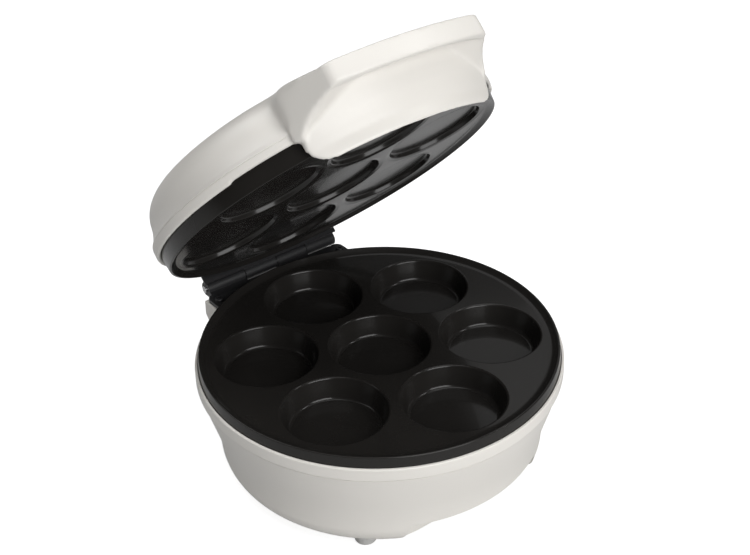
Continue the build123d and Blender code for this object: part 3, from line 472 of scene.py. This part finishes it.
# Cord bushing in the rear wall and the four feet: plain moulded plastic, the feet each held by one screw.
# The feet taper towards the table and have a rounded sole around the recess of the screw.
SOLE_R = 0.0069
SOLE_ROUND = 0.0014
FOOT_TOP_R = 0.0086
SCREW_R = 0.0026
SCREW_RECESS = 0.0032
profile = [(SCREW_R, SCREW_RECESS), (SCREW_R, 0.0)]
profile += rounded((SOLE_R - SOLE_ROUND, SOLE_ROUND), SOLE_ROUND, -90, 0, 5)
profile += [(FOOT_TOP_R - 0.0004, FLOOR - 0.0006), (FOOT_TOP_R - 0.0008, FLOOR - 0.0001)]
feet = set_at(turned("foot", profile, 64), feet_at)
feet.name = "tapered_feet"
smoothed(feet)
grey, shader, nodes = new_finish("foot_plastic", ior=1.46)
grain = noise(object_place(nodes), 900.0, 3.0)
vary(shader, base_color=blend(grain, (0.56, 0.555, 0.54), (0.64, 0.635, 0.62)),
     roughness=0.42 + grain * 0.16, normal=bumps(grain, 0.15, 0.0001))
finished(feet, grey)
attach(feet, "base")
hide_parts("feet")

matt, shader, nodes = new_finish("bushing_plastic", ior=1.46)
grain = noise(object_place(nodes), 700.0, 2.0)
vary(shader, base_color=blend(grain, (0.66, 0.65, 0.62), (0.73, 0.72, 0.69)), roughness=0.5 + grain * 0.2)
finished(frame["nodes"]["cord_bushing"], matt)

# Screws, hinge pin and the strap behind the lid's plate: zinc-plated steel, dull where it was rolled.
# The screws and the pin are bought parts, and the strap is stamped from sheet; all keep their solids.
steel, shader, nodes = new_finish("zinc_plated_steel", metallic=1.0)
spangle = nodes.node("TexVoronoi", {}, {"Vector": object_place(nodes), "Scale": 260.0}, "Color")
flake = nodes.node("SeparateColor", {}, {"Color": spangle})
vary(shader, base_color=blend(flake, (0.50, 0.50, 0.51), (0.62, 0.62, 0.62)), roughness=0.26 + flake * 0.16)
for node in ("base_plate_screws", "foot_screws", "hinge_pin", "upper_mounting_strap", "upper_plate_screws"):
    finished(frame["nodes"][node], steel)

# Heat reflectors behind both plates: thin aluminised sheet with the fine lines of the rolling mill.
# They are pressed to a shallow dish and clamped against the bosses of the plates' screws.
foil, shader, nodes = new_finish("aluminised_sheet", metallic=1.0)
drawn = nodes.node("Mapping", {}, {"Vector": object_place(nodes), "Scale": (40.0, 900.0, 900.0)})
lines = noise(drawn, 1.0, 3.0)
vary(shader, base_color=blend(lines, (0.58, 0.58, 0.59), (0.72, 0.72, 0.73)), roughness=0.2 + lines * 0.2)
finished(frame["nodes"]["lower_heat_reflector"], foil)
finished(frame["nodes"]["upper_heat_reflector"], foil)

# Heating elements: steel tubes filled with powder, blued and browned where they run hot.
# Each is bent to an open ring that lies in the ridge of its plate, with two legs at the rear.
tube, shader, nodes = new_finish("oxidised_tube", metallic=0.9)
heat = noise(object_place(nodes), 45.0, 3.0)
vary(shader, base_color=blend(heat, (0.14, 0.15, 0.20), (0.27, 0.20, 0.15)), roughness=0.35 + heat * 0.25)
finished(frame["nodes"]["lower_heating_element"], tube)
finished(frame["nodes"]["upper_heating_element"], tube)

# Thermostats with black moulded bodies, thermal fuses in woven sleeves, the terminal block of glazed ceramic.
# The thermostats press against the middle wells, the fuses lie on the reflectors, the block sits on two pegs.
moulded, shader, nodes = new_finish("switch_body", ior=1.5)
grain = noise(object_place(nodes), 800.0, 2.0)
vary(shader, base_color=blend(grain, (0.03, 0.03, 0.03), (0.05, 0.048, 0.045)), roughness=0.4 + grain * 0.2)
finished(frame["nodes"]["lower_thermostat"], moulded)
finished(frame["nodes"]["upper_thermostat"], moulded)

sleeve, shader, nodes = new_finish("woven_sleeve", roughness=0.85)
weave = nodes.node("TexWave", {"bands_direction": "DIAGONAL"},
                   {"Vector": object_place(nodes), "Scale": 300.0, "Distortion": 1.0})
vary(shader, base_color=blend(weave, (0.62, 0.60, 0.55), (0.80, 0.79, 0.75)),
     normal=bumps(weave, 0.4, 0.0002))
finished(frame["nodes"]["lower_thermal_fuse"], sleeve)
finished(frame["nodes"]["upper_thermal_fuse"], sleeve)

glaze, shader, nodes = new_finish("glazed_ceramic", coat_weight=0.5, coat_roughness=0.1)
speck = noise(object_place(nodes), 350.0, 4.0)
vary(shader, base_color=blend(speck, (0.74, 0.73, 0.69), (0.83, 0.82, 0.79)), roughness=0.25 + speck * 0.2)
finished(frame["nodes"]["terminal_block"], glaze)

# Cooking plates: die-cast aluminium with a glossy black non-stick coating, seven round wells in each.
# A raised rim runs around the face, a skirt goes down into the housing, and the element lies in a ridge
# below. The outline of the wells is given to each plate, because the lid's are much shallower.
FACE_DROP = 0.0025
PLATE_THICK = 0.003
RIM_ROUND = 0.0006
SKIRT_OUT = 0.0008
SKIRT_WALL = 0.0022
SKIRT_DROP = 0.0045
WELL_R = 0.0321
WELL_FLOOR_R = 0.0284
WELL_DEPTH = 0.0140
WELL_LIP = 0.0016
WELL_TURN = 0.0026
WELL_RING = 0.0723
WELL_CAP_R = 0.004
CUP_WALL = 0.0024
ELEMENT_RING = 0.0610
ELEMENT_DROP = 0.0230
RIDGE_OUTER = 0.006
RIDGE_INNER = 0.0035
CHANNEL_DEPTH = 0.0035
STUD_R = 0.005
STUD_DROP = 0.030
STUD_BORE_R = 0.00206
STUD_BORE_TOP = 0.016
OVERLAP = 0.0005
CUP_FLOOR = -FACE_DROP - WELL_DEPTH
FACE_LEVEL = -FACE_DROP - 0.0001
OVER_FACE = 0.004
wells_at = [(0, 0, 0)] + [(WELL_RING * math.cos(math.radians(a)), WELL_RING * math.sin(math.radians(a)), 0)
                          for a in range(30, 390, 60)]


def cast_plate(name, rim_r, wall_h, well):
    """One plate, face up, with the top of its rim at height zero; well is the outline of its wells."""
    skirt_r = rim_r + SKIRT_OUT
    under = -FACE_DROP - PLATE_THICK
    disc = [(CAP_R, under), (skirt_r - SKIRT_WALL, under), (skirt_r - SKIRT_WALL, -wall_h - SKIRT_DROP),
            (skirt_r, -wall_h - SKIRT_DROP), (skirt_r, -wall_h)]
    disc += rounded((rim_r - RIM_ROUND, -RIM_ROUND), RIM_ROUND, 0, 90, 4)
    disc += rounded((rim_r - 0.0011, -0.0005), 0.0005, 90, 120, 2)
    disc += bent((rim_r - 0.0014, -0.0001), (rim_r - 0.0034, -0.0014), (rim_r - 0.0055, -FACE_DROP), 5)
    disc += [(rim_r - 0.0075, FACE_LEVEL), (CAP_R, FACE_LEVEL)]
    plate = turned(name, disc)
    top = under + OVERLAP
    cup = [(WELL_FLOOR_R + CUP_WALL - 0.004, CUP_FLOOR - CUP_WALL),
           (WELL_FLOOR_R + CUP_WALL, CUP_FLOOR - 0.0010), (WELL_R + CUP_WALL, top)]
    combine(plate, set_at(turned("cup", cup, 96), wells_at), "UNION")
    foot = -ELEMENT_DROP
    channel = foot + CHANNEL_DEPTH
    ridge = [(-RIDGE_OUTER, top), (-RIDGE_OUTER, foot), (-RIDGE_INNER, foot), (-RIDGE_INNER, channel),
             (RIDGE_INNER, channel), (RIDGE_INNER, foot), (RIDGE_OUTER, foot), (RIDGE_OUTER, top),
             (-RIDGE_OUTER, top)]
    ridge = turned("element_ridge", [(ELEMENT_RING + out, height) for out, height in ridge])
    combine(plate, ridge, "UNION")
    combine(plate, set_at(peg(STUD_R, -STUD_DROP, top), posts_at), "UNION")
    combine(plate, set_at(peg(STUD_BORE_R, -STUD_DROP - CUT_SPARE, -STUD_BORE_TOP), posts_at), "DIFFERENCE")
    combine(plate, set_at(turned("well", well, 128), wells_at), "DIFFERENCE")
    return plate


deep_well = [(WELL_CAP_R, CUP_FLOOR)]
deep_well += rounded((WELL_FLOOR_R - WELL_TURN + 0.0004, CUP_FLOOR + WELL_TURN), WELL_TURN, -90, -12, 7)
deep_well += rounded((WELL_R + WELL_LIP, FACE_LEVEL - WELL_LIP), WELL_LIP, 180, 92, 6)
deep_well += [(WELL_R + WELL_LIP, FACE_LEVEL), (WELL_R + WELL_LIP, OVER_FACE)]
lower_plate = cast_plate("lower_plate_seven_wells", 0.1150, 0.0067, deep_well)
moved(lower_plate, Matrix.Translation((0, 0, MATE)))
smoothed(lower_plate, angle=38)

coating, shader, nodes = new_finish("nonstick_coating", specular_ior_level=0.25, coat_weight=0.15,
                                    coat_roughness=0.05)
place = object_place(nodes)
mottle = noise(place, 30.0, 3.0)
fleck = noise(place, 600.0, 1.0)
vary(shader, base_color=blend(mottle, (0.0135, 0.0125, 0.0115), (0.020, 0.0185, 0.017)),
     roughness=0.16 + mottle * 0.08, normal=bumps(fleck, 0.02, 0.00001))
finished(lower_plate, coating)
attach(lower_plate, "base")
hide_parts("lower_cooking_plate")

# The lid's plate: the same casting and coating, a little smaller, with shallow wells in low steps.
# It hangs face down under the lid from three screws, and opens with the lid about the hinge.
HINGE = Vector((0, 0.125, 0.0862))
SHUT_GAP = 0.0004
OPEN_ANGLE = -math.radians(frame["record"]["behaviour"]["joints"][0]["range_deg"][0])
lid_turn = (Matrix.Translation(HINGE) @ Matrix.Rotation(-OPEN_ANGLE, 4, "X") @ Matrix.Translation(-HINGE)
            @ Matrix.Translation((0, 0, MATE + SHUT_GAP)))
LID_WELL_DEPTH = 0.0036
LID_FLOOR_TURN = 0.0016
LID_LIP_TURN = 0.0007
LID_STEP_R = 0.0350
LID_STEP_H = 0.0004
LID_STEP_RISE = 0.0002
lid_well_floor = FACE_LEVEL - LID_WELL_DEPTH
shallow_well = [(WELL_CAP_R, lid_well_floor)]
shallow_well += rounded((WELL_R - LID_FLOOR_TURN - 0.0004, lid_well_floor + LID_FLOOR_TURN),
                        LID_FLOOR_TURN, -90, -12, 7)
shallow_well += rounded((WELL_R + LID_LIP_TURN, FACE_LEVEL - LID_STEP_H - LID_LIP_TURN),
                        LID_LIP_TURN, 168, 98, 5)
shallow_well += [(LID_STEP_R, FACE_LEVEL - 0.0001), (LID_STEP_R + LID_STEP_RISE, FACE_LEVEL),
                 (LID_STEP_R + LID_STEP_RISE, OVER_FACE)]
upper_plate = cast_plate("upper_plate_seven_wells", 0.1141, 0.0092, shallow_well)
moved(upper_plate, lid_turn @ Matrix.Rotation(math.pi, 4, "Y"))
smoothed(upper_plate, angle=38)
finished(upper_plate, coating)
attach(upper_plate, "lid")
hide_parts("upper_cooking_plate")

# Hinge: a bracket on the base and a leaf on the lid, cast with their knuckles around one steel pin.
# Both are painted satin black, as are the heads of their screws, and their edges are worn a little.
# A low apron of the leaf closes the view between the plate's skirt and the knuckles.
LEAF_EDGE = 0.0004
APRON_HALF = 0.0545
APRON_FRONT, APRON_REAR = 0.1166, 0.1178
APRON_LOW, APRON_HIGH = -0.0008, 0.0080


def merged_copy(name, node, flat_degrees=0.0):
    """A copy of a carried piece with its loose triangles merged, and those that lie flat made one face."""
    source = frame["nodes"][node]
    piece = source.copy()
    piece.data = source.data.copy()
    piece.name = name
    piece.parent = None
    piece.matrix_world = Matrix.Identity(4)
    bpy.context.collection.objects.link(piece)
    alone(piece)
    bpy.ops.object.mode_set(mode="EDIT")
    bpy.ops.mesh.select_all(action="SELECT")
    bpy.ops.mesh.remove_doubles(threshold=2e-6)
    if flat_degrees:
        bpy.ops.mesh.dissolve_limited(angle_limit=math.radians(flat_degrees))
    bpy.ops.object.mode_set(mode="OBJECT")
    return piece


painted, shader, nodes = new_finish("satin_black_paint", specular_ior_level=0.5)
speck = noise(object_place(nodes), 900.0, 3.0)
vary(shader, base_color=blend(speck, (0.010, 0.010, 0.011), (0.022, 0.022, 0.023)),
     roughness=0.3 + speck * 0.15, normal=bumps(speck, 0.2, 0.0001))
for name, node, body in (("hinge_bracket", "hinge_base_bracket", "base"),
                         ("hinge_leaf", "hinge_lid_leaf", "lid")):
    piece = smoothed(merged_copy(name, node, flat_degrees=0.6), edge=LEAF_EDGE)
    if body == "lid":
        apron = box_between((-APRON_HALF, APRON_FRONT, APRON_LOW), (APRON_HALF, APRON_REAR, APRON_HIGH))
        combine(piece, moved(apron, lid_turn), "UNION")
    finished(piece, painted)
    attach(piece, body)
    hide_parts(node)
finished(frame["nodes"]["hinge_base_screws"], painted)
finished(frame["nodes"]["hinge_lid_screws"], painted)

# Lid housing: the same warm white plastic, a domed shell that carries the handle at the front.
# The handle is a broad hollowed panel under a thick lip, with sides that sweep back and melt into the dome.
# The solid's copy is filled, gone over with a fine voxel mesh, rubbed soft at the flanks, and hollowed again.
LIP_R = BAND_R + 0.0293
GRIP_HALF = 0.0675
GRIP_REAR = -0.076
GRIP_KNEE = -0.0990
FLANK_LEANS = ((0.0390, -0.0145), (0.0270, 0.0225))
BOW_R = 0.2256
BOW_CENTRE = 0.0806
FILL_LOW = 0.0120
FILL_SPARE = 0.002
SKIN_STEP = 0.00113


def between_flanks():
    """A block that ends two millimetres inside both flanks of the handle."""
    block = box_between((-GRIP_HALF, -LIP_R, -0.010), (GRIP_HALF, GRIP_REAR, 0.060))
    for side in (-1, 1):
        for lean_x, lean_y in FLANK_LEANS:
            sliced(block, (side * GRIP_HALF, GRIP_KNEE, 0), (side * lean_x, lean_y, 0))
    return block


def lid_filling(low, grip):
    """A solid that ends within the walls of the dome, down to a height above the rim, and of the handle."""
    dome = [(CAP_R, 0.0535), (0.0708, 0.0509), (0.0857, 0.0482), (0.0996, 0.0438), (0.1065, 0.0392),
            (0.1110, 0.0300), (0.1124, 0.0235), (0.1147, 0.0180), (0.1164, 0.0150), (0.1164, low),
            (CAP_R, low)]
    dome = turned("dome_filling", dome)
    grip = turned("grip_filling", [(BAND_R + out, height) for out, height in grip])
    combine(grip, between_flanks(), "INTERSECT")
    bow = moved(peg(BOW_R, 0.0, 0.06, 512), Matrix.Translation((0, BOW_CENTRE, 0)))
    combine(grip, bow, "INTERSECT")
    combine(dome, grip, "UNION")
    return dome


back_home = lid_turn.inverted()
grip_root = [(-0.019, 0.0205), (0.001, 0.0175)]
grip_crown = [(0.0035, 0.0400), (-0.019, 0.0438), (-0.019, 0.0205)]
whole_grip = grip_root + [(0.020, 0.0215), (0.027, 0.0232), (0.027, 0.0332)] + grip_crown
short_grip = grip_root + [(0.0015, 0.0240), (0.0045, 0.0310), (0.006, 0.0340), (0.006, 0.0380)] + grip_crown
room = lid_filling(FILL_LOW - FILL_SPARE, short_grip)
combine(room, moved(merged_copy("cutting_copy", "lid_housing"), back_home), "DIFFERENCE")
shell = moved(merged_copy("lid_shell_with_handle", "lid_housing"), back_home)
combine(shell, lid_filling(FILL_LOW, whole_grip), "UNION")

# The fingers reach behind the lip: the panel goes on up there, and a slanted facet closes each end
POCKET_ROOF = 0.0265
POCKET_ROUND = 0.0025
FACET_PLACE = Vector((0.0540, -0.1340, 0.0220))
FACET_OUTWARD = Vector((0.251, 0.268, 0.930))
pocket = [(0.0034, -0.0012), (0.0045, 0.0060), (0.0063, 0.0120), (0.0092, 0.0180), (0.0125, 0.0235)]
pocket += bent(pocket[-1], (0.0136, 0.0256), (0.0155, POCKET_ROOF), 5)
pocket += [(0.0220, POCKET_ROOF)]
pocket += bent(pocket[-1], (0.0247, 0.0257), (0.0258, 0.0235), 5)
pocket += [(0.0258, 0.0195), (0.0153, 0.0110), (0.0048, -0.0030), (0.0034, -0.0012)]
pocket = turned("finger_pocket", [(BAND_R + out, height) for out, height in pocket])
ends = between_flanks()
for side in (-1, 1):
    mirror = Vector((side, 1, 1))
    sliced(ends, FACET_PLACE * mirror, FACET_OUTWARD * mirror)
combine(pocket, ends, "INTERSECT")
smoothed(pocket, edge=POCKET_ROUND, angle=60, segments=5)
combine(shell, pocket, "DIFFERENCE")

alone(shell)
bpy.ops.object.modifier_add(type="REMESH")
voxels = shell.modifiers[-1]
voxels.mode = "VOXEL"
voxels.voxel_size = SKIN_STEP
bpy.ops.object.modifier_apply(modifier=voxels.name)

# The flanks are rubbed soft, most along their middle and not at all near the rim
FLANK_FOOT = Vector((0.0695, -0.0990))
FLANK_END = Vector((0.0420, -0.0660))
FLANK_SOFT = 0.023
SOFT_LOW, SOFT_HIGH = 0.016, 0.026


def ramp(value, low, high):
    """Rises smoothly from 0 to 1 between two values."""
    share = min(1.0, max(0.0, (value - low) / (high - low)))
    return share * share * (3 - 2 * share)


rubbed = shell.vertex_groups.new(name="rubbed")
flank = FLANK_END - FLANK_FOOT
for corner in shell.data.vertices:
    spot = Vector((abs(corner.co.x), corner.co.y))
    share = min(1.0, max(0.0, (spot - FLANK_FOOT).dot(flank) / flank.length_squared))
    away = (spot - FLANK_FOOT - flank * share).length
    weight = ramp(FLANK_SOFT - away, 0, FLANK_SOFT) * ramp(corner.co.z, SOFT_LOW, SOFT_HIGH)
    if weight > 0.001:
        rubbed.add([corner.index], weight, "REPLACE")
for group, turns in (("", 5), ("rubbed", 260)):
    bpy.ops.object.modifier_add(type="SMOOTH")
    rub = shell.modifiers[-1]
    rub.factor = 0.5
    rub.iterations = turns
    rub.vertex_group = group
    bpy.ops.object.modifier_apply(modifier=rub.name)
shell.vertex_groups.clear()
combine(shell, room, "DIFFERENCE")

# A fine groove runs between the band and the dome, as far as the handle's sides
GROOVE_OUT = BAND_R + 0.0010
GROOVE_IN = BAND_R - 0.0004
GROOVE_END = -0.0950
groove = [(GROOVE_OUT, 0.0152), (GROOVE_IN, 0.0156), (GROOVE_IN, 0.0159), (GROOVE_OUT, 0.0169),
          (GROOVE_OUT, 0.0152)]
groove = turned("band_groove", groove)
combine(groove, box_between((-LIP_R, -LIP_R, 0), (LIP_R, GROOVE_END, 0.03)), "DIFFERENCE")
combine(shell, groove, "DIFFERENCE")
moved(shell, lid_turn)
smoothed(shell)
finished(shell, white)
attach(shell, "lid")
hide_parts("lid_housing")

# Two lenses in the dome, red for power and green for ready, each over a small neon lamp.
# The lenses are chamfered discs of clear coloured plastic in the dome's windows, the lamps are of glass.
for node, dark, light in (("power_lens", (0.45, 0.01, 0.01), (0.7, 0.03, 0.02)),
                          ("ready_lens", (0.02, 0.30, 0.04), (0.04, 0.5, 0.08))):
    jewel, shader, nodes = new_finish(node + "_plastic", transmission_weight=0.5, coat_weight=0.4,
                                      roughness=0.15)
    swirl = noise(object_place(nodes), 200.0, 2.0)
    vary(shader, base_color=blend(swirl, dark, light))
    finished(frame["nodes"][node], jewel)

glass, shader, nodes = new_finish("neon_lamp_glass", transmission_weight=0.8, ior=1.5)
haze = noise(object_place(nodes), 300.0, 2.0)
vary(shader, base_color=blend(haze, (0.78, 0.72, 0.66), (0.85, 0.83, 0.8)), roughness=0.05 + haze * 0.1)
finished(frame["nodes"]["indicator_lamps"], glass)
